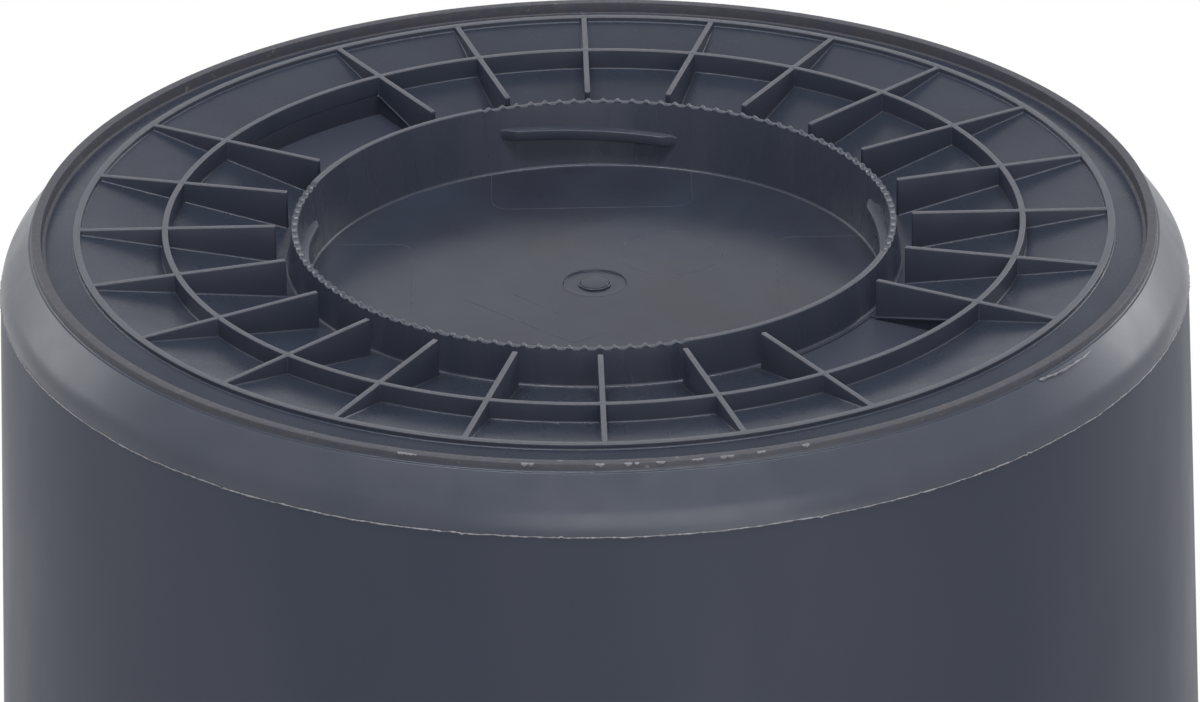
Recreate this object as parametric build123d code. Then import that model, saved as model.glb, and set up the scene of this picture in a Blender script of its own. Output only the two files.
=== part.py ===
from build123d import *
import math
import os

# Round trash can, one plastic moulding, standing upright.
# Millimetres. Z is up, the origin is the centre of the ground face, and the
# two lift handles and the two base hand grips lie on the X axis.
# Each named piece is one region of the moulding, seated face to face on the next.

# Overall sizes
HEIGHT = 692.0
WALL = 3.0
BUMPER_R = 231.8
PARTING_Z = 24.0
WALL_SLOPE = 0.0333

# Foot lip that the can stands on, and the rounded bumper above it
LIP_IN_R = 215.4
LIP_OUT_R = 219.1
RIDGE_R = 220.3
RIDGE_Z = 3.4
BUMPER_ARC_R = 16.0

# Base floor: a channel inside the lip, then a cone that rises to the lock ring
CHANNEL_R = 213.7
CHANNEL_Z = 4.5
FLOOR_Z = 2.0
FLOOR_INNER_Z = 16.2
FLOOR = 3.0

# Rib grid under the floor
OUTER_RING_IN_R = 199.95
OUTER_RING_OUT_R = 202.85
MID_RING_IN_R = 165.8
MID_RING_OUT_R = 168.2
RIB = 2.2
RIB_EDGE = 0.4
RIB_INNER_R = 124.0
RIB_CORNER = 0.8
RIB_PITCH = 15
GRIP_ANGLES = (0, 180)

# Serrated ring in the base that a turning lock could grip
LOCK_IN_R = 115.5
LOCK_OUT_R = 117.8
LOCK_FOOT_R = 119.2
LOCK_SMOOTH_Z = 0.3
LOCK_VALLEY_Z = 1.0
HUB_R = 112.9
HUB_Z = 27.5
HUB = 3.0
TOOTH_PITCH = 360 / 126
TOOTH_BASE = 3.2
TOOTH_CREST = 1.4
TOOTH_INSET = 0.05
TOOTH_ARCS = ((25.1, 45), (210.8, 44))

# Ramped lugs inside the lock ring
LUG_ANGLES = (45, 135, 225, 315)
LUG_SPAN = 36.5
LUG_NOSE_SPAN = 29.6
LUG_NOSE_R = 111.3
LUG_MID_Z = 13.6
LUG_THICK = 4.4
LUG_RISE = 4.4

# Gate mark in the middle of the hub
GATE_R = 12.5
GATE_DEPTH = 0.6
GATE_NUB_R = 5.5
GATE_NUB = 0.9

# Stepped-out top band, rolled rim and its webs
BAND_Z = 596.0
BAND_STEP = 3.0
BAND_STEP_RISE = 8.0
RIM_R = 272.0
RIM_SKIRT_Z = 662.0
RIM_ROUND = 6.0
RIM_ROUND_RUNS = 3
RIM_WEB = 2.4
RIM_WEB_PITCH = 15
RIM_WEB_LIFT = 6.0

# Lift handles
HANDLE_R = 105.0
HANDLE_REACH = 292.0
HANDLE_TOP_Z = 654.0
HANDLE_DEPTH = 34.0
HANDLE_WALL = 4.0
HANDLE_EDGE = 1.8
HANDLE_WEBS_Y = (-46.0, 46.0)
HANDLE_WEB_LIFT = 12.0

# Reach of cutting shapes past what they cut
FAR = 400.0
PAST = 1.0
LUG_BLANK = 40.0


def wall_radius(z):
    """Outer radius of the plain tapered wall at height z."""
    return BUMPER_R + WALL_SLOPE * (z - PARTING_Z)


def floor_z(r):
    """Height of the cone's underside at radius r."""
    rise = (FLOOR_INNER_Z - FLOOR_Z) / (OUTER_RING_IN_R - LOCK_FOOT_R)
    return FLOOR_Z + (OUTER_RING_IN_R - r) * rise


def ring(points):
    """Solid of revolution from an outline of (radius, height) points."""
    outline = Polyline([(r, 0, z) for r, z in points], close=True)
    return revolve(make_face(outline), Axis.Z)


def turned(shape, angle):
    return Rot(0, 0, angle) * shape


# Bumper section: a straight run from the ridge, tangent to the arc that
# meets the side wall at the parting line
ARC_CENTRE = (BUMPER_R - BUMPER_ARC_R, PARTING_Z)


def tangent_direction():
    """Unit vector from the arc's centre to where the straight run touches it."""
    dr = RIDGE_R - ARC_CENTRE[0]
    dz = RIDGE_Z - ARC_CENTRE[1]
    angle = math.atan2(dz, dr) + math.acos(BUMPER_ARC_R / math.hypot(dr, dz))
    return math.cos(angle), math.sin(angle)


OUT_R, OUT_Z = tangent_direction()


def arc_point(radius):
    return ARC_CENTRE[0] + radius * OUT_R, ARC_CENTRE[1] + radius * OUT_Z


# Inner edge of the bumper where it leaves the lip, and where the lip's top meets it
BUMPER_FOOT = (RIDGE_R - WALL * OUT_R, RIDGE_Z - WALL * OUT_Z)
LIP_TOP_Z = CHANNEL_Z + FLOOR
LIP_TOP_R = BUMPER_FOOT[0] + (LIP_TOP_Z - BUMPER_FOOT[1]) * -OUT_Z / OUT_R


def make_foot_lip():
    return ring([
        (LIP_IN_R, 0),
        (LIP_OUT_R, 0),
        (LIP_OUT_R, RIDGE_Z),
        (RIDGE_R, RIDGE_Z),
        BUMPER_FOOT,
        (LIP_TOP_R, LIP_TOP_Z),
        (CHANNEL_R, LIP_TOP_Z),
        (CHANNEL_R, CHANNEL_Z),
    ])


def make_base_bumper():
    """Round outside, with two straight runs inside where only rubbish touches it."""
    inner_r = BUMPER_ARC_R - WALL
    middle = math.atan2(OUT_Z, OUT_R) / 2
    outer_end = arc_point(BUMPER_ARC_R)
    inner_end = arc_point(inner_r)

    def on_arc(radius, angle):
        r = ARC_CENTRE[0] + radius * math.cos(angle)
        return r, 0, ARC_CENTRE[1] + radius * math.sin(angle)

    def at(point):
        return point[0], 0, point[1]

    outline = [
        Line(at((RIDGE_R, RIDGE_Z)), at(outer_end)),
        ThreePointArc(at(outer_end), on_arc(BUMPER_ARC_R, middle), on_arc(BUMPER_ARC_R, 0)),
        Line(on_arc(BUMPER_ARC_R, 0), on_arc(inner_r, 0)),
        Line(on_arc(inner_r, 0), on_arc(inner_r, middle)),
        Line(on_arc(inner_r, middle), at(inner_end)),
        Line(at(inner_end), at(BUMPER_FOOT)),
        Line(at(BUMPER_FOOT), at((RIDGE_R, RIDGE_Z))),
    ]
    return revolve(make_face(Wire(outline)), Axis.Z)


def make_side_wall():
    top_r = wall_radius(BAND_Z)
    return ring([
        (BUMPER_R - WALL, PARTING_Z),
        (BUMPER_R, PARTING_Z),
        (top_r, BAND_Z),
        (top_r - WALL, BAND_Z),
    ])


def band_radius(z):
    return wall_radius(z) + BAND_STEP


def make_upper_band():
    foot_r = wall_radius(BAND_Z)
    step_z = BAND_Z + BAND_STEP_RISE
    top_z = HEIGHT - RIM_ROUND
    return ring([
        (foot_r - WALL, BAND_Z),
        (foot_r, BAND_Z),
        (band_radius(step_z), step_z),
        (band_radius(top_z), top_z),
        (band_radius(top_z) - WALL, top_z),
        (band_radius(step_z) - WALL, step_z),
    ])


def round_runs(centre_r, radius, first, last, runs):
    """Points along a round at the rim's shoulder, between two angles in degrees."""
    centre_z = HEIGHT - RIM_ROUND
    points = []
    for i in range(runs + 1):
        angle = math.radians(first + (last - first) * i / runs)
        points.append((centre_r + radius * math.cos(angle), centre_z + radius * math.sin(angle)))
    return points


def make_top_rim():
    """Rolled rim: rounded shoulder over the band, flange, and skirt outside it."""
    in_r = band_radius(HEIGHT - RIM_ROUND) - WALL
    near_r = in_r + RIM_ROUND
    far_r = RIM_R - RIM_ROUND
    hollow = RIM_ROUND - WALL
    return ring([
        *round_runs(near_r, RIM_ROUND, 180, 90, RIM_ROUND_RUNS),
        *round_runs(far_r, RIM_ROUND, 90, 0, RIM_ROUND_RUNS),
        (RIM_R, RIM_SKIRT_Z),
        (RIM_R - WALL, RIM_SKIRT_Z),
        *round_runs(far_r, hollow, 0, 90, 1),
        *round_runs(near_r, hollow, 90, 180, 1),
    ])


def flat_inside(radius, thickness):
    """Where a plate's flat end meets the inside of a round wall without entering it."""
    return math.sqrt(radius ** 2 - (thickness / 2) ** 2)


def make_plate(points, thickness):
    """Flat plate standing on the XZ plane, from an outline of (x, z) points."""
    outline = Polyline([(x, 0, z) for x, z in points], close=True)
    return extrude(make_face(outline), thickness / 2, both=True)


def make_rim_webs():
    """Radial webs that tie the skirt to the band, hidden under the rim."""
    low_z = RIM_SKIRT_Z + RIM_WEB_LIFT
    high_z = HEIGHT - RIM_ROUND
    end_r = flat_inside(RIM_R - WALL, RIM_WEB)
    plate = make_plate([
        (band_radius(low_z), low_z),
        (end_r, low_z),
        (end_r, high_z),
        (band_radius(high_z), high_z),
    ], RIM_WEB)
    count = round(360 / RIM_WEB_PITCH)
    angles = [(i + 0.5) * RIM_WEB_PITCH for i in range(count)]
    return Compound(children=[turned(plate, a) for a in angles])


def make_handle(angle):
    """Pocket handle: a bowed grip closed on top, with fingers entering from below."""
    centre_x = HANDLE_REACH - HANDLE_R
    low_z = HANDLE_TOP_Z - HANDLE_DEPTH
    mid_z = HANDLE_TOP_Z - HANDLE_DEPTH / 2
    body = Pos(centre_x, 0, mid_z) * Cylinder(HANDLE_R, HANDLE_DEPTH)
    body = chamfer(body.edges().filter_by(GeomType.CIRCLE).sort_by(Axis.Z)[-1], HANDLE_EDGE)
    hollow_z = mid_z - HANDLE_WALL
    pocket = Pos(centre_x, 0, hollow_z) * Cylinder(HANDLE_R - HANDLE_WALL, HANDLE_DEPTH)
    shell = body - pocket
    web_low_z = low_z + HANDLE_WEB_LIFT
    web_high_z = HANDLE_TOP_Z - HANDLE_WALL
    web_z = (web_low_z + web_high_z) / 2
    web_height = web_high_z - web_low_z
    for y in HANDLE_WEBS_Y:
        web = Pos(centre_x + HANDLE_R / 2, y, web_z) * Box(HANDLE_R, WALL, web_height)
        shell += web & pocket
    can = ring([
        (0, low_z - PAST),
        (band_radius(low_z - PAST), low_z - PAST),
        (band_radius(HANDLE_TOP_Z + PAST), HANDLE_TOP_Z + PAST),
        (0, HANDLE_TOP_Z + PAST),
    ])
    return turned(shell - can, angle)


def make_outer_ring():
    return ring([
        (OUTER_RING_IN_R, 0),
        (OUTER_RING_OUT_R, 0),
        (OUTER_RING_OUT_R, FLOOR_Z),
        (OUTER_RING_IN_R, FLOOR_Z),
    ])


def make_mid_ring():
    return ring([
        (MID_RING_IN_R, 0),
        (MID_RING_OUT_R, 0),
        (MID_RING_OUT_R, floor_z(MID_RING_OUT_R)),
        (MID_RING_IN_R, floor_z(MID_RING_IN_R)),
    ])


def rib_top(x):
    """Height where a flat rib top at x meets the floor's cone along the rib's sides."""
    return floor_z(math.hypot(x, RIB / 2))


def ease_ground_edges(plate):
    ground = plate.faces().sort_by(Axis.Z)[0]
    return chamfer(ground.edges().filter_by(Axis.X), RIB_EDGE)


def make_rib():
    """Radial rib along +X, in two lengths either side of the middle ring."""
    far = flat_inside(OUTER_RING_IN_R, RIB)
    near = flat_inside(MID_RING_IN_R, RIB)
    outer = make_plate([
        (MID_RING_OUT_R, 0),
        (far, 0),
        (far, rib_top(far)),
        (MID_RING_OUT_R, rib_top(MID_RING_OUT_R)),
    ], RIB)
    inner = make_plate([
        (RIB_INNER_R + RIB_CORNER, 0),
        (near, 0),
        (near, rib_top(near)),
        (RIB_INNER_R, rib_top(RIB_INNER_R)),
        (RIB_INNER_R, RIB_CORNER),
    ], RIB)
    return ease_ground_edges(inner) + ease_ground_edges(outer)


def make_ribs():
    """One rib per bay line, except on the two hand grips' centre lines."""
    rib = make_rib()
    angles = [i * RIB_PITCH for i in range(360 // RIB_PITCH)]
    return [turned(rib, a) for a in angles if a not in GRIP_ANGLES]


def sector(in_r, out_r, low_z, high_z, half_angle, side_shift):
    """Ring sector about +X whose flat sides lie side_shift outside its rays."""
    block = ring([(in_r, low_z), (out_r, low_z), (out_r, high_z), (in_r, high_z)])
    for sign in (-1, 1):
        keep = Pos(0, -sign * FAR, 0) * Box(2 * FAR, 2 * FAR, 2 * FAR)
        block &= turned(Pos(0, sign * side_shift, 0) * keep, sign * half_angle)
    return block


def make_pocket_shapes():
    """Outer form and finger space of the hand grip on +X."""
    top_z = FLOOR_INNER_Z + FLOOR
    above_cone = ring([
        (LOCK_FOOT_R, FLOOR_INNER_Z),
        (OUTER_RING_IN_R, FLOOR_Z),
        (OUTER_RING_IN_R, top_z),
        (LOCK_FOOT_R, top_z),
    ])
    out_r = MID_RING_IN_R + WALL
    form = sector(LOCK_FOOT_R, out_r, 0, top_z, RIB_PITCH, RIB / 2) & above_cone
    space = sector(LOCK_FOOT_R, MID_RING_IN_R, -PAST, FLOOR_INNER_Z, RIB_PITCH, -RIB / 2)
    return form, space


def make_base_floor(pocket_form):
    plate = ring([
        (CHANNEL_R, CHANNEL_Z),
        (CHANNEL_R, CHANNEL_Z + FLOOR),
        (OUTER_RING_OUT_R, FLOOR_Z + FLOOR),
        (OUTER_RING_IN_R, FLOOR_Z + FLOOR),
        (LOCK_FOOT_R, FLOOR_INNER_Z + FLOOR),
        (LOCK_FOOT_R, FLOOR_INNER_Z),
        (OUTER_RING_IN_R, FLOOR_Z),
        (OUTER_RING_OUT_R, FLOOR_Z),
    ])
    for angle in GRIP_ANGLES:
        plate -= turned(pocket_form, angle)
    return plate


def lock_wall_r(z):
    """Inner radius of the lock ring's drafted wall."""
    return LOCK_IN_R - (LOCK_IN_R - HUB_R) * z / HUB_Z


def lock_outer_r(z):
    """Outer radius of the lock ring's drafted wall below the floor."""
    return LOCK_OUT_R + (LOCK_FOOT_R - LOCK_OUT_R) * z / FLOOR_INNER_Z


def rim_band(low_z, high_z):
    """A slice of the lock ring's wall near its free edge."""
    return ring([
        (lock_wall_r(low_z), low_z),
        (lock_outer_r(low_z), low_z),
        (lock_outer_r(high_z), high_z),
        (lock_wall_r(high_z), high_z),
    ])


def make_teeth():
    """Radial serrations along the free edge, on both sides of the hand grips."""
    near = lock_wall_r(LOCK_VALLEY_Z) + TOOTH_INSET
    far = flat_inside(lock_outer_r(LOCK_VALLEY_Z), TOOTH_BASE) - TOOTH_INSET
    profile = Polyline(
        (near, -TOOTH_BASE / 2, LOCK_VALLEY_Z),
        (near, -TOOTH_CREST / 2, 0),
        (near, TOOTH_CREST / 2, 0),
        (near, TOOTH_BASE / 2, LOCK_VALLEY_Z),
        close=True,
    )
    tooth = extrude(make_face(profile), far - near, dir=(1, 0, 0))
    angles = [first + i * TOOTH_PITCH for first, count in TOOTH_ARCS for i in range(count)]
    return [turned(tooth, a) for a in angles]


def make_smooth_rims():
    """Plain stretches of the free edge beside the hand grips."""
    first = TOOTH_ARCS[0][0] - TOOTH_PITCH / 2
    last = first + TOOTH_ARCS[0][1] * TOOTH_PITCH
    second_first = TOOTH_ARCS[1][0] - TOOTH_PITCH / 2
    second_last = second_first + TOOTH_ARCS[1][1] * TOOTH_PITCH
    edge = rim_band(LOCK_SMOOTH_Z, LOCK_VALLEY_Z)
    stretches = []
    for start, end in ((last, second_first), (second_last, first + 360)):
        half = (end - start) / 2
        piece = edge & sector(LOCK_IN_R - PAST, LOCK_OUT_R + PAST, 0, LOCK_VALLEY_Z + PAST, half, 0)
        stretches.append(turned(piece, start + half))
    return stretches


def make_lock_ring():
    body = ring([
        (lock_wall_r(LOCK_VALLEY_Z), LOCK_VALLEY_Z),
        (lock_outer_r(LOCK_VALLEY_Z), LOCK_VALLEY_Z),
        (LOCK_FOOT_R, FLOOR_INNER_Z),
        (LOCK_FOOT_R, FLOOR_INNER_Z + FLOOR),
        (HUB_R + WALL, HUB_Z + HUB),
        (HUB_R, HUB_Z + HUB),
        (HUB_R, HUB_Z),
    ])
    return body.fuse(*make_teeth(), *make_smooth_rims())


def make_lug(angle):
    """Bayonet lug: a ring sector between two tilted planes, tapered at both ends."""
    top_z = LUG_MID_Z + LUG_THICK
    low_z = LUG_MID_Z - LUG_THICK
    block = ring([
        (LUG_NOSE_R, low_z - LUG_RISE),
        (lock_wall_r(low_z - LUG_RISE), low_z - LUG_RISE),
        (lock_wall_r(top_z + LUG_RISE), top_z + LUG_RISE),
        (LUG_NOSE_R, top_z + LUG_RISE),
    ])
    chord = 2 * LUG_NOSE_R * math.sin(math.radians(LUG_SPAN / 2))
    tilt = math.degrees(math.atan2(LUG_RISE, chord))
    slab = Pos(LUG_NOSE_R, 0, LUG_MID_Z) * Rot(tilt, 0, 0) * Box(LUG_BLANK, 2 * chord, LUG_THICK)
    lug = block & slab
    nose_angle = math.radians(LUG_NOSE_SPAN / 2)
    nose_x = LUG_NOSE_R * math.cos(nose_angle)
    nose_y = LUG_NOSE_R * math.sin(nose_angle)
    wall_angle = math.radians(LUG_SPAN / 2)
    wall_r = lock_wall_r(LUG_MID_Z)
    slope = math.atan2(wall_r * math.sin(wall_angle) - nose_y, wall_r * math.cos(wall_angle) - nose_x)
    for sign in (-1, 1):
        keep = Pos(0, -sign * FAR, 0) * Box(2 * FAR, 2 * FAR, 2 * FAR)
        lug &= Pos(nose_x, sign * nose_y, 0) * Rot(0, 0, sign * math.degrees(slope)) * keep
    return turned(lug, angle)


def make_hub_floor():
    disc = Pos(0, 0, HUB_Z + HUB / 2) * Cylinder(HUB_R, HUB)
    recess = Pos(0, 0, HUB_Z + GATE_DEPTH / 2) * Cylinder(GATE_R, GATE_DEPTH)
    nub = Pos(0, 0, HUB_Z + GATE_DEPTH - GATE_NUB / 2) * Cylinder(GATE_NUB_R, GATE_NUB)
    return disc - recess + nub


def build():
    """Every node's name with its shape."""
    form, space = make_pocket_shapes()
    nodes = {
        "foot_lip": make_foot_lip(),
        "base_bumper": make_base_bumper(),
        "side_wall": make_side_wall(),
        "upper_band": make_upper_band(),
        "top_rim": make_top_rim(),
        "rim_webs": make_rim_webs(),
        "handle_right": make_handle(0),
        "handle_left": make_handle(180),
        "base_floor": make_base_floor(form),
        "hand_grip_right": form - space,
        "hand_grip_left": turned(form - space, 180),
        "outer_rib_ring": make_outer_ring(),
        "mid_rib_ring": make_mid_ring(),
        "lock_ring": make_lock_ring(),
        "hub_floor": make_hub_floor(),
    }
    for i, angle in enumerate(LUG_ANGLES):
        nodes[f"lock_lug_{i + 1}"] = make_lug(angle)
    for i, rib in enumerate(make_ribs()):
        nodes[f"base_rib_{i + 1:02d}"] = rib
    return nodes


os.makedirs("parts", exist_ok=True)
for name, shape in build().items():
    if not isinstance(shape, (Part, Compound, Solid)):
        shape = Compound(children=list(shape))
    export_step(shape, f"parts/{name}.step")
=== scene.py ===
import bmesh
import bpy
import math
import random
from mathutils import Matrix, Vector, noise


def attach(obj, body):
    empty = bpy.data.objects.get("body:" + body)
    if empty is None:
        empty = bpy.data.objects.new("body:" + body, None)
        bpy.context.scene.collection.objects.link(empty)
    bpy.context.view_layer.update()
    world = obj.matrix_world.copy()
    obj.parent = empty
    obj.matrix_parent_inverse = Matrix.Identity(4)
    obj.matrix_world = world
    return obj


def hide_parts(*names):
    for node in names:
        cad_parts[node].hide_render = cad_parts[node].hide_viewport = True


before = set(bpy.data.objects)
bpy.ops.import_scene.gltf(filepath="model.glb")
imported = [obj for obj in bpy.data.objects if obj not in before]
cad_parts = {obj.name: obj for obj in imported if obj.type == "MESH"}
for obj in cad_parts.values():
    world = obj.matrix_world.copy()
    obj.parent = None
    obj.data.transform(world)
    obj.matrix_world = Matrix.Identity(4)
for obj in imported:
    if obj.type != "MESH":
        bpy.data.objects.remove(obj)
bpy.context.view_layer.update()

# Camera. It is solved in a frame with the can upside down, as photographed,
# whose X axis lies PHOTO_TURN degrees round from the model's.
PHOTO_TURN = -44.2
FOCAL_PX = 9318.0
IMAGE_W = 1200.0
SENSOR = 36.0
DISTANCE = 21.742 * 0.167
ELEVATION = 0.4247
YAW = -0.0005
PITCH = -0.0142
ROLL = 0.0149


def from_photo():
    """Turn from the photographed, upside-down can to the model's frame."""
    return Matrix.Rotation(math.radians(PHOTO_TURN), 3, "Z") @ Matrix.Rotation(math.pi, 3, "Y")


def make_camera():
    place = DISTANCE * Vector((0, -math.cos(ELEVATION), math.sin(ELEVATION)))
    turn = (Matrix.Rotation(YAW, 3, "Z") @ Matrix.Rotation(PITCH - ELEVATION, 3, "X")
            @ Matrix.Rotation(ROLL, 3, "Y"))
    # Blender's camera looks along its own -Z, with Y up
    looks = Matrix((turn.col[0], turn.col[2], -turn.col[1])).transposed()
    to_model = from_photo()
    data = bpy.data.cameras.new("camera")
    data.sensor_width = SENSOR
    data.lens = FOCAL_PX / IMAGE_W * SENSOR
    camera = bpy.data.objects.new("camera", data)
    bpy.context.scene.collection.objects.link(camera)
    camera.matrix_world = Matrix.Translation(to_model @ place) @ (to_model @ looks).to_4x4()
    bpy.context.scene.camera = camera


# Light
WORLD_LEVEL = 0.24
# The floor's own glow, seen by the camera alone, rises to white between two radii
FLOOR_GLOW = 0.3
FLOOR_FADE = (1.0, 4.0)
FLOOR_REACH = 6.0
FLOOR_PAINT = (0.86, 0.86, 0.86, 1)

# Lamps: name, place in metres, watts, width, depth. The second set is placed
# in the photographed frame, and lights the underside.
LAMPS = (
    ("overhead", (1.2, -1.6, 3.2), 80.0, 2.4, 2.4),
    ("side", (-3.0, -1.0, 1.6), 30.0, 2.4, 2.4),
)
PHOTO_LAMPS = (
    ("photo_top_left", (-0.7, -0.6, 3.1), 56.0, 1.5, 0.5),
    ("photo_top_right", (0.8, -0.4, 3.1), 40.0, 1.3, 0.5),
    ("photo_back_left", (-2.6, 1.9, 1.0), 21.0, 2.0, 1.4),
    ("photo_back_right", (2.6, 2.1, 1.0), 34.0, 2.0, 1.4),
    ("photo_front", (0.7, -3.6, 1.1), 72.0, 3.4, 3.0),
)


def link(nodes, start, end):
    nodes.id_data.links.new(start, end)


def make_world():
    """White behind the object, and a plain soft light on it."""
    world = bpy.data.worlds.new("studio")
    bpy.context.scene.world = world
    world.use_nodes = True
    nodes = world.node_tree.nodes
    back = nodes["Background"]
    path = nodes.new("ShaderNodeLightPath")
    seen = nodes.new("ShaderNodeMath")
    seen.operation = "MAXIMUM"
    also = nodes.new("ShaderNodeMath")
    also.operation = "MAXIMUM"
    level = nodes.new("ShaderNodeMapRange")
    link(nodes, path.outputs["Is Camera Ray"], seen.inputs[0])
    link(nodes, path.outputs["Is Glossy Ray"], seen.inputs[1])
    link(nodes, seen.outputs[0], also.inputs[0])
    link(nodes, path.outputs["Is Transmission Ray"], also.inputs[1])
    link(nodes, also.outputs[0], level.inputs["Value"])
    level.inputs["To Min"].default_value = WORLD_LEVEL
    level.inputs["To Max"].default_value = 1.0
    back.inputs["Color"].default_value = (1, 1, 1, 1)
    link(nodes, level.outputs["Result"], back.inputs["Strength"])


def make_lamp(name, place, power, width, depth, across):
    """Soft box that faces the can, with its width along the direction across."""
    data = bpy.data.lights.new(name, "AREA")
    data.shape = "RECTANGLE"
    data.size = width
    data.size_y = depth
    data.energy = power
    lamp = bpy.data.objects.new(name, data)
    bpy.context.scene.collection.objects.link(lamp)
    back = Vector(place).normalized()
    up = back.cross(Vector(across)).normalized()
    turn = Matrix((up.cross(back), up, back)).transposed()
    lamp.matrix_world = Matrix.Translation(place) @ turn.to_4x4()


def make_floor():
    """Pale floor under the can. From below it lets the camera and the light through."""
    mesh = bpy.data.meshes.new("floor")
    signs = ((-1, -1), (1, -1), (1, 1), (-1, 1))
    mesh.from_pydata([(x * FLOOR_REACH, y * FLOOR_REACH, 0) for x, y in signs], [], [(0, 1, 2, 3)])
    floor = bpy.data.objects.new("floor", mesh)
    bpy.context.scene.collection.objects.link(floor)
    material = bpy.data.materials.new("floor_paint")
    material.use_nodes = True
    nodes = material.node_tree.nodes
    shader = nodes["Principled BSDF"]
    shader.inputs["Base Color"].default_value = FLOOR_PAINT
    shader.inputs["Roughness"].default_value = 0.9
    shader.inputs["Specular IOR Level"].default_value = 0.0
    shader.inputs["Emission Color"].default_value = (1, 1, 1, 1)
    path = nodes.new("ShaderNodeLightPath")
    side = nodes.new("ShaderNodeNewGeometry")
    reached = nodes.new("ShaderNodeVectorMath")
    reached.operation = "LENGTH"
    link(nodes, side.outputs["Position"], reached.inputs[0])
    glow = ranged(nodes, reached.outputs["Value"], FLOOR_GLOW, 1.0, *FLOOR_FADE)
    link(nodes, glow, shader.inputs["Emission Strength"])
    above = nodes.new("ShaderNodeMath")
    above.operation = "SUBTRACT"
    above.use_clamp = True
    clear = nodes.new("ShaderNodeBsdfTransparent")
    mix = nodes.new("ShaderNodeMixShader")
    link(nodes, path.outputs["Is Camera Ray"], above.inputs[0])
    link(nodes, side.outputs["Backfacing"], above.inputs[1])
    link(nodes, above.outputs[0], mix.inputs["Fac"])
    link(nodes, clear.outputs[0], mix.inputs[1])
    link(nodes, shader.outputs[0], mix.inputs[2])
    link(nodes, mix.outputs[0], nodes["Material Output"].inputs["Surface"])
    floor.data.materials.append(material)


def make_lamps():
    for name, place, power, width, depth in LAMPS:
        make_lamp(name, Vector(place), power, width, depth, (1, 1, 0))
    turn = from_photo()
    for name, place, power, width, depth in PHOTO_LAMPS:
        make_lamp(name, turn @ Vector(place), power, width, depth, turn @ Vector((1, 0, 0)))


# Materials
PLASTIC = (0.030, 0.037, 0.056)
# Darker plastic for the floor between the ribs: painted shade of the deep bays
PLASTIC_BAY_SHADE = (0.024, 0.029, 0.045)
# Darker still for the hub floor deep inside the lock ring: painted shade of that recess
HUB_PAINTED_SHADE = (0.022, 0.023, 0.034)
PLASTIC_PALE = (0.042, 0.047, 0.067)
PLASTIC_BROWN = (0.054, 0.051, 0.060)
LIP_GREY = (0.040, 0.044, 0.060)
FLASH_PALE = (0.24, 0.24, 0.27)
FLASH_DULL = (0.12, 0.115, 0.125)
LIP_SPOTS = (0.16, 0.14, 0.13)
SPOT_COVER, SPOT_EDGE = 0.8, 0.06
PALE_NEAR_GROUND_Z = 0.0006
PALER_BLUE_GREY = (0.062, 0.066, 0.085)
GLOSS_SCALE, SHINIER, DULLER = 2.3, 0.05, 0.06


def noise_node(nodes, coords, scale, detail, rough=0.55):
    texture = nodes.new("ShaderNodeTexNoise")
    texture.inputs["Scale"].default_value = scale
    texture.inputs["Detail"].default_value = detail
    texture.inputs["Roughness"].default_value = rough
    link(nodes, coords, texture.inputs["Vector"])
    return texture


def ranged(nodes, value, low, high, from_low=0.3, from_high=0.7):
    spread = nodes.new("ShaderNodeMapRange")
    spread.inputs["From Min"].default_value = from_low
    spread.inputs["From Max"].default_value = from_high
    spread.inputs["To Min"].default_value = low
    spread.inputs["To Max"].default_value = high
    link(nodes, value, spread.inputs["Value"])
    return spread.outputs["Result"]


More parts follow.
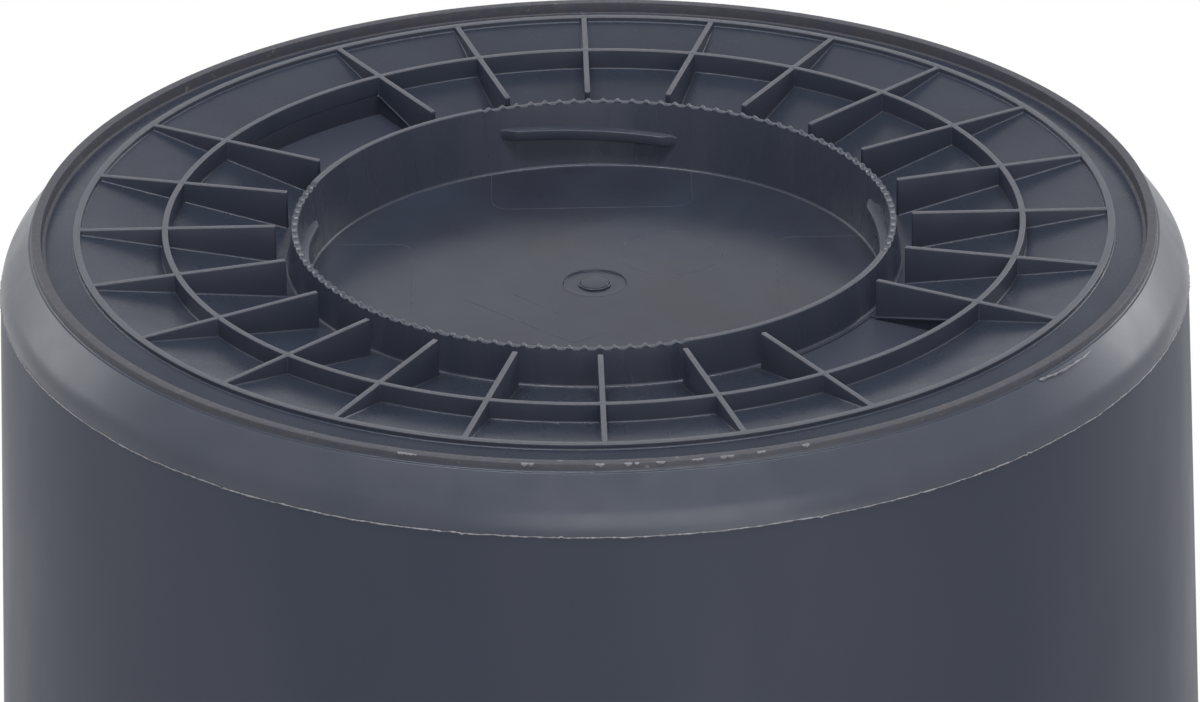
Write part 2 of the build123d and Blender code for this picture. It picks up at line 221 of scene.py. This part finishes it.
def make_plastic(name, colour, other, rough, specular, mottle=18.0, grain=2600.0,
                 grain_height=0.02, stretch=(1, 1, 1), spots=None, spot_scale=260.0,
                 spot_from=0.66, pale_near_ground=None):
    """Moulded plastic with soft mottling, uneven gloss and a fine grain, and spots if asked."""
    material = bpy.data.materials.new(name)
    material.use_nodes = True
    nodes = material.node_tree.nodes
    shader = nodes["Principled BSDF"]
    shader.inputs["Specular IOR Level"].default_value = specular
    place = nodes.new("ShaderNodeTexCoord")
    scaled = nodes.new("ShaderNodeMapping")
    scaled.inputs["Scale"].default_value = stretch
    link(nodes, place.outputs["Object"], scaled.inputs["Vector"])
    coords = scaled.outputs["Vector"]
    cloud = noise_node(nodes, coords, mottle, 5)
    mix = nodes.new("ShaderNodeMix")
    mix.data_type = "RGBA"
    mix.inputs["A"].default_value = (*colour, 1)
    mix.inputs["B"].default_value = (*other, 1)
    link(nodes, ranged(nodes, cloud.outputs["Fac"], 0.0, 1.0), mix.inputs["Factor"])
    colour_out = mix.outputs["Result"]
    if spots:
        speck = noise_node(nodes, place.outputs["Object"], spot_scale, 3)
        over = nodes.new("ShaderNodeMix")
        over.data_type = "RGBA"
        over.inputs["B"].default_value = (*spots, 1)
        link(nodes, colour_out, over.inputs["A"])
        share = ranged(nodes, speck.outputs["Fac"], 0.0, SPOT_COVER, spot_from, spot_from + SPOT_EDGE)
        link(nodes, share, over.inputs["Factor"])
        colour_out = over.outputs["Result"]
    if pale_near_ground:
        # Paler colour on faces within a set height of the ground
        split = nodes.new("ShaderNodeSeparateXYZ")
        link(nodes, place.outputs["Object"], split.inputs[0])
        worn = nodes.new("ShaderNodeMix")
        worn.data_type = "RGBA"
        link(nodes, colour_out, worn.inputs["A"])
        worn.inputs["B"].default_value = (*pale_near_ground, 1)
        share = ranged(nodes, split.outputs["Z"], 1.0, 0.0, PALE_NEAR_GROUND_Z * 0.2, PALE_NEAR_GROUND_Z)
        link(nodes, share, worn.inputs["Factor"])
        colour_out = worn.outputs["Result"]
    link(nodes, colour_out, shader.inputs["Base Color"])
    gloss = noise_node(nodes, coords, mottle * GLOSS_SCALE, 4)
    dullness = ranged(nodes, gloss.outputs["Fac"], rough - SHINIER, rough + DULLER)
    link(nodes, dullness, shader.inputs["Roughness"])
    fine = noise_node(nodes, place.outputs["Object"], grain, 2)
    bump = nodes.new("ShaderNodeBump")
    bump.inputs["Strength"].default_value = 1.0
    bump.inputs["Distance"].default_value = grain_height * MM
    link(nodes, fine.outputs["Fac"], bump.inputs["Height"])
    link(nodes, bump.outputs["Normal"], shader.inputs["Normal"])
    return material


# Shapes of the base, in millimetres. They repeat the model's own sizes.
LIP_IN_R, LIP_OUT_R = 215.4, 219.1
RIDGE_R, RIDGE_Z = 220.3, 3.4
BUMPER_R, PARTING_Z, BUMPER_ARC_R = 231.8, 24.0, 16.0
WALL = 3.0
CHANNEL_R, CHANNEL_Z = 213.7, 4.5
FLOOR_Z, FLOOR_INNER_Z, FLOOR = 2.0, 16.2, 3.0
LIP_TOP_Z = CHANNEL_Z + FLOOR
OUTER_RING = (199.95, 202.85)
MID_RING = (165.8, 168.2)
RIB, RIB_INNER_R, RIB_PITCH = 2.2, 124.0, 15
LOCK_IN_R, LOCK_OUT_R, LOCK_FOOT_R = 115.5, 117.8, 119.2
HUB_R, HUB_Z, HUB = 112.9, 27.5, 3.0
VALLEY_Z, SMOOTH_Z = 1.0, 0.3
TOOTH_PITCH = 360 / 126
TOOTH_ARCS = ((25.1, 45), (210.8, 44))
LUG_ANGLES = (45, 135, 225, 315)
LUG_SPAN, LUG_NOSE_SPAN, LUG_NOSE_R = 36.5, 29.6, 111.3
LUG_MID_Z, LUG_THICK, LUG_RISE = 13.6, 4.4, 4.4
GATE_R, GATE_DEPTH, GATE_NUB_R, GATE_NUB = 12.5, 0.6, 5.5, 0.9

MM = 0.001
SEGMENTS = 720
EDGE = 0.35
FILLET = 0.6
FILLET_STEPS, EDGE_STEPS = 4, 3
# How far toes stand clear of the floor, so that no two faces share a plane
TUCK = 0.06
TOE = 2.2
LAP = 0.4


def floor_z(r):
    """Height of the cone's underside at radius r."""
    return FLOOR_Z + (OUTER_RING[0] - r) * (FLOOR_INNER_Z - FLOOR_Z) / (OUTER_RING[0] - LOCK_FOOT_R)


def lock_wall_r(z):
    return LOCK_IN_R - (LOCK_IN_R - HUB_R) * z / HUB_Z


def add_piece(name, verts, faces, material, *nodes, sharp=40):
    """Mesh piece from millimetre points, riding on the can and standing for CAD nodes."""
    mesh = bpy.data.meshes.new(name)
    mesh.from_pydata([Vector(v) * MM for v in verts], [], faces)
    solid = bmesh.new()
    solid.from_mesh(mesh)
    bmesh.ops.recalc_face_normals(solid, faces=solid.faces)
    solid.to_mesh(mesh)
    solid.free()
    mesh.shade_smooth()
    mesh.set_sharp_from_angle(angle=math.radians(sharp))
    mesh.materials.append(material)
    piece = bpy.data.objects.new(name, mesh)
    bpy.context.scene.collection.objects.link(piece)
    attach(piece, "root")
    if nodes:
        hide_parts(*nodes)


def rounded(outline, steps=4):
    """Closed outline with its corners rounded. Each corner is (r, z) or (r, z, radius)."""
    count = len(outline)
    result = []
    for i, corner in enumerate(outline):
        here = Vector(corner[:2])
        radius = corner[2] if len(corner) > 2 else 0
        before = Vector(outline[i - 1][:2]) - here
        after = Vector(outline[(i + 1) % count][:2]) - here
        if not radius:
            result.append(tuple(here))
            continue
        half = before.angle(after) / 2
        reach = min(radius / math.tan(half), 0.49 * before.length, 0.49 * after.length)
        radius = reach * math.tan(half)
        centre = here + (before.normalized() + after.normalized()).normalized() * (radius / math.sin(half))
        start = here + before.normalized() * reach - centre
        end = here + after.normalized() * reach - centre
        turn = start.angle_signed(end)
        for k in range(steps + 1):
            spoke = start.copy()
            spoke.rotate(Matrix.Rotation(-turn * k / steps, 2))
            result.append(tuple(centre + spoke))
    return result


def lathe(outline, segments=SEGMENTS, shift=None):
    """Ring mesh from a closed outline; shift(r, z, angle) may move its points."""
    verts, faces = [], []
    count = len(outline)
    for s in range(segments):
        a = 2 * math.pi * s / segments
        for r, z in outline:
            if shift:
                r, z = shift(r, z, a)
            verts.append((r * math.cos(a), r * math.sin(a), z))
    for s in range(segments):
        t = (s + 1) % segments
        for k in range(count):
            m = (k + 1) % count
            faces.append((s * count + k, t * count + k, t * count + m, s * count + m))
    return verts, faces


def join(*parts):
    """One mesh from several (verts, faces)."""
    verts, faces = [], []
    for more_verts, more_faces in parts:
        start = len(verts)
        verts += more_verts
        faces += [tuple(i + start for i in face) for face in more_faces]
    return verts, faces


def turned(part, degrees):
    turn = Matrix.Rotation(math.radians(degrees), 3, "Z")
    return [tuple(turn @ Vector(v)) for v in part[0]], part[1]


def loft(loops):
    """Closed skin through loops of equal length, with an end face on the first and the last."""
    count = len(loops[0])
    verts = [v for loop in loops for v in loop]
    faces = []
    for s in range(len(loops) - 1):
        for k in range(count):
            m = (k + 1) % count
            faces.append((s * count + k, s * count + m, (s + 1) * count + m, (s + 1) * count + k))
    faces.append(tuple(range(count))[::-1])
    faces.append(tuple(range((len(loops) - 1) * count, len(loops) * count)))
    return verts, faces


def fillet_profile(half, base, crown, edge, draft=0.008):
    """One side of a rib's cross-section, (y, z), from inside the floor to its free edge."""
    foot = min(FILLET, 0.4 * (base - crown))
    wide = half + draft * base
    side = [(wide + foot, base + 0.5)]
    for k in range(FILLET_STEPS + 1):
        t = math.radians(90 * k / FILLET_STEPS)
        side.append((wide + foot - foot * math.sin(t), base + 0.03 - foot + foot * math.cos(t)))
    edge = min(edge, 0.9 * half)
    for k in range(EDGE_STEPS + 1):
        t = math.radians(90 * k / EDGE_STEPS)
        side.append((half - edge + edge * math.cos(t), crown + edge - edge * math.sin(t)))
    return side


def rib_section(x, half, crown=0.0):
    side = fillet_profile(half, floor_z(x), crown, EDGE)
    return [(x, y, z) for y, z in side] + [(x, -y, z) for y, z in side[::-1]]


def flare(distance):
    """Extra half thickness near a ring, for the upright fillet."""
    if distance >= FILLET:
        return 0.0
    return FILLET - math.sqrt(FILLET ** 2 - (FILLET - max(distance, 0)) ** 2)


FLARE_STEPS = (0.0, 0.07, 0.26, 0.56, 0.9)
END_ROUND = 0.55


def make_rib(name, angle, material, node):
    """Radial rib in two lengths, either side of the middle ring."""
    loops = []
    for start, end, free in ((RIB_INNER_R, MID_RING[0], True), (MID_RING[1], OUTER_RING[0], False)):
        stations = []
        if free:
            for k in range(FILLET_STEPS + 1):
                t = math.radians(90 * k / FILLET_STEPS)
                drop = END_ROUND * (1 - math.sin(t))
                stations.append((start + END_ROUND * (1 - math.cos(t)), RIB / 2 - drop, drop))
        else:
            stations.append((start - 0.5, RIB / 2 + FILLET, 0))
            stations += [(start + s, RIB / 2 + flare(s), 0) for s in FLARE_STEPS]
        stations += [(start + (end - start) * k / 4, RIB / 2, 0) for k in (1, 2, 3)]
        stations += [(end - s, RIB / 2 + flare(s), 0) for s in FLARE_STEPS[::-1]]
        stations.append((end + 0.5, RIB / 2 + FILLET, 0))
        loops.append(loft([rib_section(x, half, crown) for x, half, crown in stations]))
    verts, faces = turned(join(*loops), angle)
    add_piece(name, verts, faces, material, node)


def channel_z(r):
    """Height of the channel's underside between the outer ring and the lip."""
    return FLOOR_Z + (r - OUTER_RING[1]) * (CHANNEL_Z - FLOOR_Z) / (CHANNEL_R - OUTER_RING[1])


GRIP_MARGIN = 0.3


def in_grip(degrees):
    """Whether an angle lies in one of the two double bays of the hand grips."""
    return abs((degrees + 90) % 180 - 90) < RIB_PITCH - GRIP_MARGIN


def make_round_rib(name, ring, outer_floor, material, node):
    """Ring-shaped rib. Over the grip bays the middle one has no toe on its inner side."""
    in_r, out_r = ring

    def shape(r, z, a):
        if node == "mid_rib_ring" and in_grip(math.degrees(a)) and r < in_r + 0.02 and z > 2:
            return in_r + 0.3 * (r < in_r - 0.01), z
        return r, z

    toe_in = in_r - TOE * FILLET
    toe_out = out_r + TOE * FILLET
    outline = rounded([
        (toe_in, floor_z(toe_in) + 0.5),
        (toe_in, floor_z(toe_in) + TUCK),
        (in_r, floor_z(in_r), FILLET),
        (in_r, 0, EDGE),
        (out_r, 0, EDGE),
        (out_r, outer_floor(out_r), FILLET),
        (toe_out, outer_floor(toe_out) + TUCK),
        (toe_out, outer_floor(toe_out) + 0.5),
    ])
    verts, faces = lathe(outline, SEGMENTS, shape)
    add_piece(name, verts, faces, material, node)


def bumper_line():
    """Outer outline of the bumper, from its ridge to the parting line."""
    centre = Vector((BUMPER_R - BUMPER_ARC_R, PARTING_Z))
    to_ridge = Vector((RIDGE_R, RIDGE_Z)) - centre
    first = math.atan2(to_ridge.y, to_ridge.x) + math.acos(BUMPER_ARC_R / to_ridge.length)
    steps = 14
    return [(centre.x + BUMPER_ARC_R * math.cos(first * (1 - k / steps)),
             centre.y + BUMPER_ARC_R * math.sin(first * (1 - k / steps))) for k in range(steps + 1)]


def make_bumper(material):
    """Rounded edge from the ridge to the parting line."""
    arc = bumper_line()
    inner = [(r - WALL * (r - BUMPER_R + BUMPER_ARC_R) / BUMPER_ARC_R,
              z - WALL * (z - PARTING_Z) / BUMPER_ARC_R) for r, z in arc]
    low = RIDGE_Z - 1.2
    outline = rounded([
        (LIP_OUT_R - LAP, low), (LIP_OUT_R + 0.1, low), (LIP_OUT_R + 0.1, RIDGE_Z, 0.7),
        (RIDGE_R, RIDGE_Z, 0.5), *arc, *inner[::-1], (LIP_OUT_R - LAP, LIP_TOP_Z)])
    verts, faces = lathe(outline)
    add_piece("base_bumper_round", verts, faces, material, "base_bumper")


ROUGH_LIP = 0.10
LIP_SEGMENTS = 1440
LIP_MID_R = 217


def make_lip(material):
    """Foot lip with a worn, uneven edge."""
    outline = rounded([
        (CHANNEL_R - LAP, CHANNEL_Z), (LIP_IN_R - 0.5, CHANNEL_Z, 0.6), (LIP_IN_R, 0, 0.3),
        (LIP_OUT_R, 0, 0.4), (LIP_OUT_R + 0.05, RIDGE_Z + 1), (LIP_OUT_R, LIP_TOP_Z),
        (CHANNEL_R - LAP, LIP_TOP_Z)])

    def wear(r, z, a):
        if z > 1.0:
            return r, z
        spot = Vector((r * math.cos(a), r * math.sin(a), z))
        rough = noise.noise(spot * 0.9) + 0.5 * noise.noise(spot * 2.3)
        sideways = ROUGH_LIP * rough * (1 if r > LIP_MID_R else 0.4)
        return r + sideways, max(0.0, z + ROUGH_LIP * (0.6 + rough))

    verts, faces = lathe(outline, LIP_SEGMENTS, wear)
    add_piece("foot_lip_worn", verts, faces, material, "foot_lip")


# Pixel columns of the tabs in the photograph, pixels per millimetre at the
# front of the lip, and the torn strip's first and last angle
TAB_PX = (404, 414, 529, 600, 634, 665, 700, 731, 767, 805)
TAB_BITS, TAB_SPREAD = 3, 0.55
LIP_FRONT_PX = 2.716
TEAR = (319.0, 328.0)
TEAR_STEPS = 60


def photo_angle(degrees):
    """Model angle of an angle in the photographed frame."""
    return 180 + PHOTO_TURN - degrees


def make_lip_flash(material):
    """Flash left on the lip's outer edge: small tabs, and a strip half torn off."""
    chance = random.Random(9)
    parts = []
    for px in TAB_PX:
        across = (px - IMAGE_W / 2) / LIP_FRONT_PX
        middle = photo_angle(270 + math.degrees(math.asin(across / LIP_OUT_R)))
        for _ in range(TAB_BITS):
            a = math.radians(middle + chance.uniform(-TAB_SPREAD, TAB_SPREAD))
            size = chance.uniform(0.7, 1.5)
            loops = []
            for k in range(5):
                t = a + math.radians(0.11 * size * (k - 2))
                tall = 0.25 + size * (1 - abs(k - 2) / 2.6) * chance.uniform(0.6, 1.0)
                out = LIP_OUT_R + 0.12 + chance.uniform(0.0, 0.25)
                section = ((LIP_OUT_R - 0.5, 0.05), (out, 0.02), (out + 0.2, 0.4 * tall),
                           (out, tall), (LIP_OUT_R - 0.3, tall))
                loops.append([(r * math.cos(t), r * math.sin(t), z) for r, z in section])
            parts.append(loft(loops))
    path, lifts = [], []
    for i in range(TEAR_STEPS + 1):
        share = i / TEAR_STEPS
        a = math.radians(photo_angle(TEAR[0] + (TEAR[1] - TEAR[0]) * share))
        bow = 1.6 * math.sin(math.pi * share) ** 0.6
        r = RIDGE_R + 0.3 + bow + 0.3 * noise.noise(Vector((share * 9, 0, 0)))
        z = RIDGE_Z + 0.2 + 1.3 * share + 0.3 * noise.noise(Vector((0, share * 7, 0)))
        path.append((r * math.cos(a), r * math.sin(a), z))
        lifts.append((math.cos(a), math.sin(a), -1.0))
    parts.append(bead(path, 0.9, 0.45, lifts, 13, 0.5))
    verts, faces = join(*parts)
    add_piece("lip_flash", verts, faces, material, sharp=60)


def smooth_share(degrees):
    """1 on the plain stretches of the lock ring's edge, 0 where it is serrated."""
    for first, count in TOOTH_ARCS:
        low = first - TOOTH_PITCH / 2
        high = low + count * TOOTH_PITCH
        if low <= degrees <= high or low <= degrees + 360 <= high:
            return 0
    return 1


def lock_outer_r(z):
    return LOCK_OUT_R + (LOCK_FOOT_R - LOCK_OUT_R) * z / FLOOR_INNER_Z


RING_WAVE = 0.05
RING_TOE, RING_ROUND = 2.6, 1.1


def make_lock_ring(material):
    """Serrated ring, with the slight waves of a cooled moulding."""
    v = VALLEY_Z
    toe_r = LOCK_FOOT_R + RING_TOE
    outline = rounded([
        (HUB_R - RING_TOE, HUB_Z + TUCK), (HUB_R, HUB_Z, RING_ROUND),
        (lock_wall_r(v), v, 0.4), (lock_outer_r(v), v, 0.4),
        (LOCK_FOOT_R, FLOOR_INNER_Z, RING_ROUND), (toe_r, floor_z(toe_r) + TUCK),
        (toe_r, FLOOR_INNER_Z + 0.5), (LOCK_FOOT_R, FLOOR_INNER_Z + FLOOR),
        (HUB_R + WALL, HUB_Z + HUB), (HUB_R - RING_TOE, HUB_Z + HUB)])

    def shape(r, z, a):
        if z < v + 0.5:
            z -= (v - SMOOTH_Z) * smooth_share(math.degrees(a))
        wave = noise.noise(Vector((math.cos(a), math.sin(a), 0)) * 7)
        wave *= math.sin(math.pi * min(z / HUB_Z, 1))
        return r + RING_WAVE * wave, z

    verts, faces = lathe(outline, SEGMENTS, shape)
    tooth = make_tooth()
    parts = [(verts, faces)]
    for first, count in TOOTH_ARCS:
        parts += [turned(tooth, first + i * TOOTH_PITCH) for i in range(count)]
    verts, faces = join(*parts)
    add_piece("lock_ring_serrated", verts, faces, material, "lock_ring")


TOOTH_WIDTH = 3.4
# Share of the way across the ring, drop of the crest, share of the full width
TOOTH_STATIONS = ((0, 0.45, 0.86), (0.05, 0.2, 0.94), (0.16, 0, 1), (0.5, 0.03, 1),
                  (0.84, 0, 1), (0.95, 0.2, 0.94), (1, 0.45, 0.86))
TOOTH_POINTS = (-1, -0.75, -0.5, -0.25, 0, 0.25, 0.5, 0.75, 1)


def make_tooth():
    """One rounded serration across the ring's edge, on +X."""
    near = lock_wall_r(VALLEY_Z) - 0.02
    far = lock_outer_r(VALLEY_Z) + 0.02
    loops = []
    foot_z = VALLEY_Z + 0.6
    for share, drop, width in TOOTH_STATIONS:
        x = near + (far - near) * share
        top = []
        for u in TOOTH_POINTS:
            fall = 1 - (0.5 + 0.5 * math.cos(math.pi * u)) ** 0.8
            z = drop + (VALLEY_Z + 0.05) * fall * (1 - drop / 1.05)
            top.append((x, width * TOOTH_WIDTH / 2 * u, z))
        side = width * TOOTH_WIDTH / 2
        loops.append([(x, -side, foot_z), *top, (x, side, foot_z)])
    return loft(loops)


LUG_TAPER = (0, 0.12, 0.4, 0.8, 1.0)
LUG_STEPS = 16


def make_lug(name, angle, material, node):
    """Ramped lug on the ring's inner wall, tapering to rounded tips."""
    half_wall, half_nose = LUG_SPAN / 2, LUG_NOSE_SPAN / 2
    angles = [-half_wall + (half_wall - half_nose) * t for t in LUG_TAPER]
    angles += [-half_nose + 2 * half_nose * k / LUG_STEPS for k in range(1, LUG_STEPS)]
    angles += [-a for a in angles[:len(LUG_TAPER)]][::-1]
    loops = []
    for a in angles:
        t = math.radians(a)
        share = min(1.0, (half_wall - abs(a)) / (half_wall - half_nose))
        middle = LUG_MID_Z + LUG_RISE * a / LUG_SPAN
        tall = LUG_THICK / 2 * min(1.0, 0.45 + 0.9 * math.sqrt(share))
        wall = lock_wall_r(middle) + 0.5
        tip = lock_wall_r(middle) + 0.2
        nose = tip - (tip - LUG_NOSE_R) * share
        edge = 0.45 * max(share, 0.1)
        section = rounded([
            (wall, middle - tall - 0.25), (nose, middle - tall + 0.1, edge),
            (nose, middle + tall - 0.1, edge), (wall, middle + tall + 0.25)], EDGE_STEPS)
        loops.append([(r * math.cos(t), r * math.sin(t), z) for r, z in section])
    verts, faces = turned(loft(loops), angle)
    add_piece(name, verts, faces, material, node)


HUB_CENTRE_R = 0.02
HUB_SEGMENTS = 360


def make_hub(material):
    """Flat hub floor with the gate mark at its centre."""
    deep = HUB_Z + GATE_DEPTH
    outline = rounded([
        (HUB_CENTRE_R, deep - GATE_NUB), (GATE_NUB_R, deep - GATE_NUB, 0.3),
        (GATE_NUB_R + 0.5, deep, 0.3), (GATE_R - 0.3, deep, 0.3), (GATE_R, HUB_Z - 0.12, 0.2),
        (GATE_R + 0.7, HUB_Z, 0.3), (HUB_R - LAP, HUB_Z), (HUB_R - LAP, HUB_Z + HUB),
        (HUB_CENTRE_R, HUB_Z + HUB)])
    verts, faces = lathe(outline, HUB_SEGMENTS)
    add_piece("hub_floor_gated", verts, faces, material, "hub_floor")


# Across a bead and up it, as shares of its half width and its height
BEAD_SECTION = ((-1, 0), (-0.7, 0.6), (0, 1), (0.7, 0.6), (1, 0))
BEAD_SINK = 0.15


def bead(path, wide, proud, lifts, seed, uneven, closed=False):
    """Low rounded line along a path. lifts gives the outward direction at each point."""
    chance = random.Random(seed)
    loops = []
    count = len(path)
    for i, (point, lift) in enumerate(zip(path, lifts)):
        here = Vector(point)
        ahead = Vector(path[(i + 1) % count] if closed or i + 1 < count else path[i])
        behind = Vector(path[i - 1] if closed or i else path[i])
        up = Vector(lift).normalized()
        side = (ahead - behind).normalized().cross(up).normalized()
        size = 1 + uneven * (chance.random() * 2 - 1)
        section = []
        for u, h in BEAD_SECTION:
            rise = proud * size * h - (BEAD_SINK if h == 0 else 0)
            section.append(tuple(here + side * wide * size * u / 2 + up * rise))
        loops.append(section)
    verts, faces = loft(loops)
    if closed:
        faces = faces[:-2]
        n = len(BEAD_SECTION)
        last = (count - 1) * n
        faces += [(last + k, last + (k + 1) % n, (k + 1) % n, k) for k in range(n)]
    return verts, faces


def hub_line(points, wide, proud):
    """Low line on the hub floor through (x, y) points of the photographed frame."""
    path = []
    for start, end in zip(points, points[1:]):
        gap = Vector(end) - Vector(start)
        steps = max(1, round(gap.length / 4))
        path += [tuple(Vector(start) + gap * k / steps) for k in range(steps)]
    path.append(points[-1])
    placed = [from_photo() @ Vector((x, y, 0)) for x, y in path]
    placed = [(p.x, p.y, HUB_Z) for p in placed]
    return bead(placed, wide, proud, [(0, 0, -1)] * len(placed), 7, 0.35)


def arc_points(centre, radius, first, last, steps):
    """Points of an arc in the photographed frame, angles in degrees."""
    angles = [math.radians(first + (last - first) * k / steps) for k in range(steps + 1)]
    return [(centre[0] + radius * math.cos(a), centre[1] + radius * math.sin(a)) for a in angles]


# Marks on the hub, in millimetres of the photographed frame
LIFTER_IN, LIFTER_HALF, LIFTER_CORNER = 71.5, 40.0, 7.5
LIFTER_ANGLES = (0.4, 90.4, 180.4, 270.4)
CIRCLE_AT, CIRCLE_R = (30.0, 27.0), 20.4
SCRATCHES = (((-50.6, -14.0), (-8.7, -55.0)), ((-33.0, -8.0), (-12.5, -30.0)),
             ((-8.7, -55.0), (3.7, -46.3)))
GATE_RING_R = 6.2
GATE_CURL = [(-3.0, 1.5), (-3.6, -1.0), (-1.6, -3.2), (1.4, -3.0), (3.0, -0.8), (2.2, 1.6),
             (0.2, 2.2)]
# Witness lines run up the ring's wall this far round from the middle of each lug
WITNESS = 20.8
WITNESS_STEPS = 8


def lifter_outline(angle):
    """Outline that one sliding mould piece left on the hub, from wall to wall."""
    turn = Matrix.Rotation(math.radians(angle), 2)
    out = math.sqrt(HUB_R ** 2 - LIFTER_HALF ** 2) - 0.6
    local = [(out, -LIFTER_HALF)]
    corner = LIFTER_IN + LIFTER_CORNER
    reach = LIFTER_HALF - LIFTER_CORNER
    local += arc_points((corner, -reach), LIFTER_CORNER, 270, 180, 5)
    local += arc_points((corner, reach), LIFTER_CORNER, 180, 90, 5)
    local.append((out, LIFTER_HALF))
    return [tuple(turn @ Vector(p)) for p in local]


def make_hub_marks(material):
    """Faint raised lines of the mould on the hub floor and up the ring's inner wall."""
    parts = [hub_line(lifter_outline(a), 0.3, 0.06) for a in LIFTER_ANGLES]
    parts.append(hub_line(arc_points(CIRCLE_AT, CIRCLE_R, 0, 360, 40), 0.3, 0.07))
    parts += [hub_line(list(line), 0.4, 0.1) for line in SCRATCHES]
    parts.append(hub_line(arc_points((0, 0), GATE_RING_R, 0, 360, 24), 0.6, 0.12))
    parts.append(hub_line(GATE_CURL, 0.9, 0.3))
    heights = [HUB_Z - 1.2 - (HUB_Z - 2.4) * k / WITNESS_STEPS for k in range(WITNESS_STEPS + 1)]
    for angle in LUG_ANGLES:
        for side in (-WITNESS, WITNESS):
            t = math.radians(angle + side)
            path = [(lock_wall_r(z) * math.cos(t), lock_wall_r(z) * math.sin(t), z)
                    for z in heights]
            inward = (-math.cos(t), -math.sin(t), 0)
            parts.append(bead(path, 0.35, 0.09, [inward] * len(path), 11, 0.3))
    verts, faces = join(*parts)
    add_piece("hub_mould_marks", verts, faces, material, sharp=80)


FLASH_POINTS = 1500
FLASH_WIDE, FLASH_PROUD = 0.5, 0.34
NICK_CHANCE, NICK = 0.012, 0.5


def make_parting_flash(material):
    """Ragged line of flash where the two mould halves met."""
    chance = random.Random(5)
    path, lifts = [], []
    for i in range(FLASH_POINTS):
        a = 2 * math.pi * i / FLASH_POINTS
        ring = Vector((math.cos(a), math.sin(a), 0))
        wander = 0.35 * noise.noise(ring * 9) + 0.25 * noise.noise(ring * 40)
        wander += 0.12 * (chance.random() - 0.5)
        if chance.random() < NICK_CHANCE:
            wander += chance.choice((-NICK, NICK))
        path.append((BUMPER_R * ring.x, BUMPER_R * ring.y, PARTING_Z + wander))
        lifts.append(tuple(ring))
    verts, faces = bead(path, FLASH_WIDE, FLASH_PROUD, lifts, 3, 0.55, closed=True)
    add_piece("parting_flash", verts, faces, material, sharp=80)


make_camera()
make_world()
make_floor()
make_lamps()

wall_plastic = make_plastic("plastic_wall", PLASTIC, PLASTIC_PALE, 0.46, 0.16, 9.0,
                            stretch=(1, 1, 0.35))
bumper_plastic = make_plastic("plastic_bumper", PLASTIC, PLASTIC_PALE, 0.33, 0.44, 24.0, 900.0, 0.03)
rib_plastic = make_plastic("plastic_ribs", PLASTIC, PLASTIC_PALE, 0.33, 0.3, 30.0, pale_near_ground=PALER_BLUE_GREY)
ring_plastic = make_plastic("plastic_ring", PLASTIC, PLASTIC_PALE, 0.27, 0.3, 34.0,
                            stretch=(1, 1, 0.2), pale_near_ground=PALER_BLUE_GREY)
# The floor's colour is darkened with painted shade of its recessed bays
floor_plastic_shaded = make_plastic("plastic_floor_painted_shade", PLASTIC_BAY_SHADE, PLASTIC, 0.28, 0.16, 26.0)
# The hub's colour is darkened with painted shade of the recess it sits in
hub_plastic_shaded = make_plastic("plastic_hub_painted_shade", HUB_PAINTED_SHADE, PLASTIC, 0.2, 0.2, 16.0)
lip_plastic = make_plastic("plastic_lip", LIP_GREY, PLASTIC_BROWN, 0.5, 0.3, 300.0, 2200.0, 0.06,
                           spots=LIP_SPOTS)
flash_plastic = make_plastic("plastic_flash", FLASH_PALE, FLASH_DULL, 0.45, 0.3, 200.0)
mark_plastic = make_plastic("plastic_marks", PLASTIC_PALE, PALER_BLUE_GREY, 0.3, 0.25, 60.0)

for name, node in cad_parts.items():
    node.data.materials.clear()
    # The base floor takes the material darkened with painted shade
    node.data.materials.append(floor_plastic_shaded if name == "base_floor" else wall_plastic)

make_lip(lip_plastic)
make_bumper(bumper_plastic)
make_round_rib("outer_rib_ring_eased", OUTER_RING, channel_z, rib_plastic, "outer_rib_ring")
make_round_rib("mid_rib_ring_eased", MID_RING, floor_z, rib_plastic, "mid_rib_ring")
rib_number = 0
for angle in range(0, 360, RIB_PITCH):
    if angle % 180:
        rib_number += 1
        node_name = f"base_rib_{rib_number:02d}"
        make_rib(f"{node_name}_eased", angle, rib_plastic, node_name)
make_lock_ring(ring_plastic)
for number, angle in enumerate(LUG_ANGLES, 1):
    make_lug(f"lock_lug_{number}_eased", angle, rib_plastic, f"lock_lug_{number}")
make_hub(hub_plastic_shaded)
make_hub_marks(mark_plastic)
make_parting_flash(flash_plastic)
make_lip_flash(flash_plastic)

scene = bpy.context.scene
scene.view_settings.view_transform = "Standard"
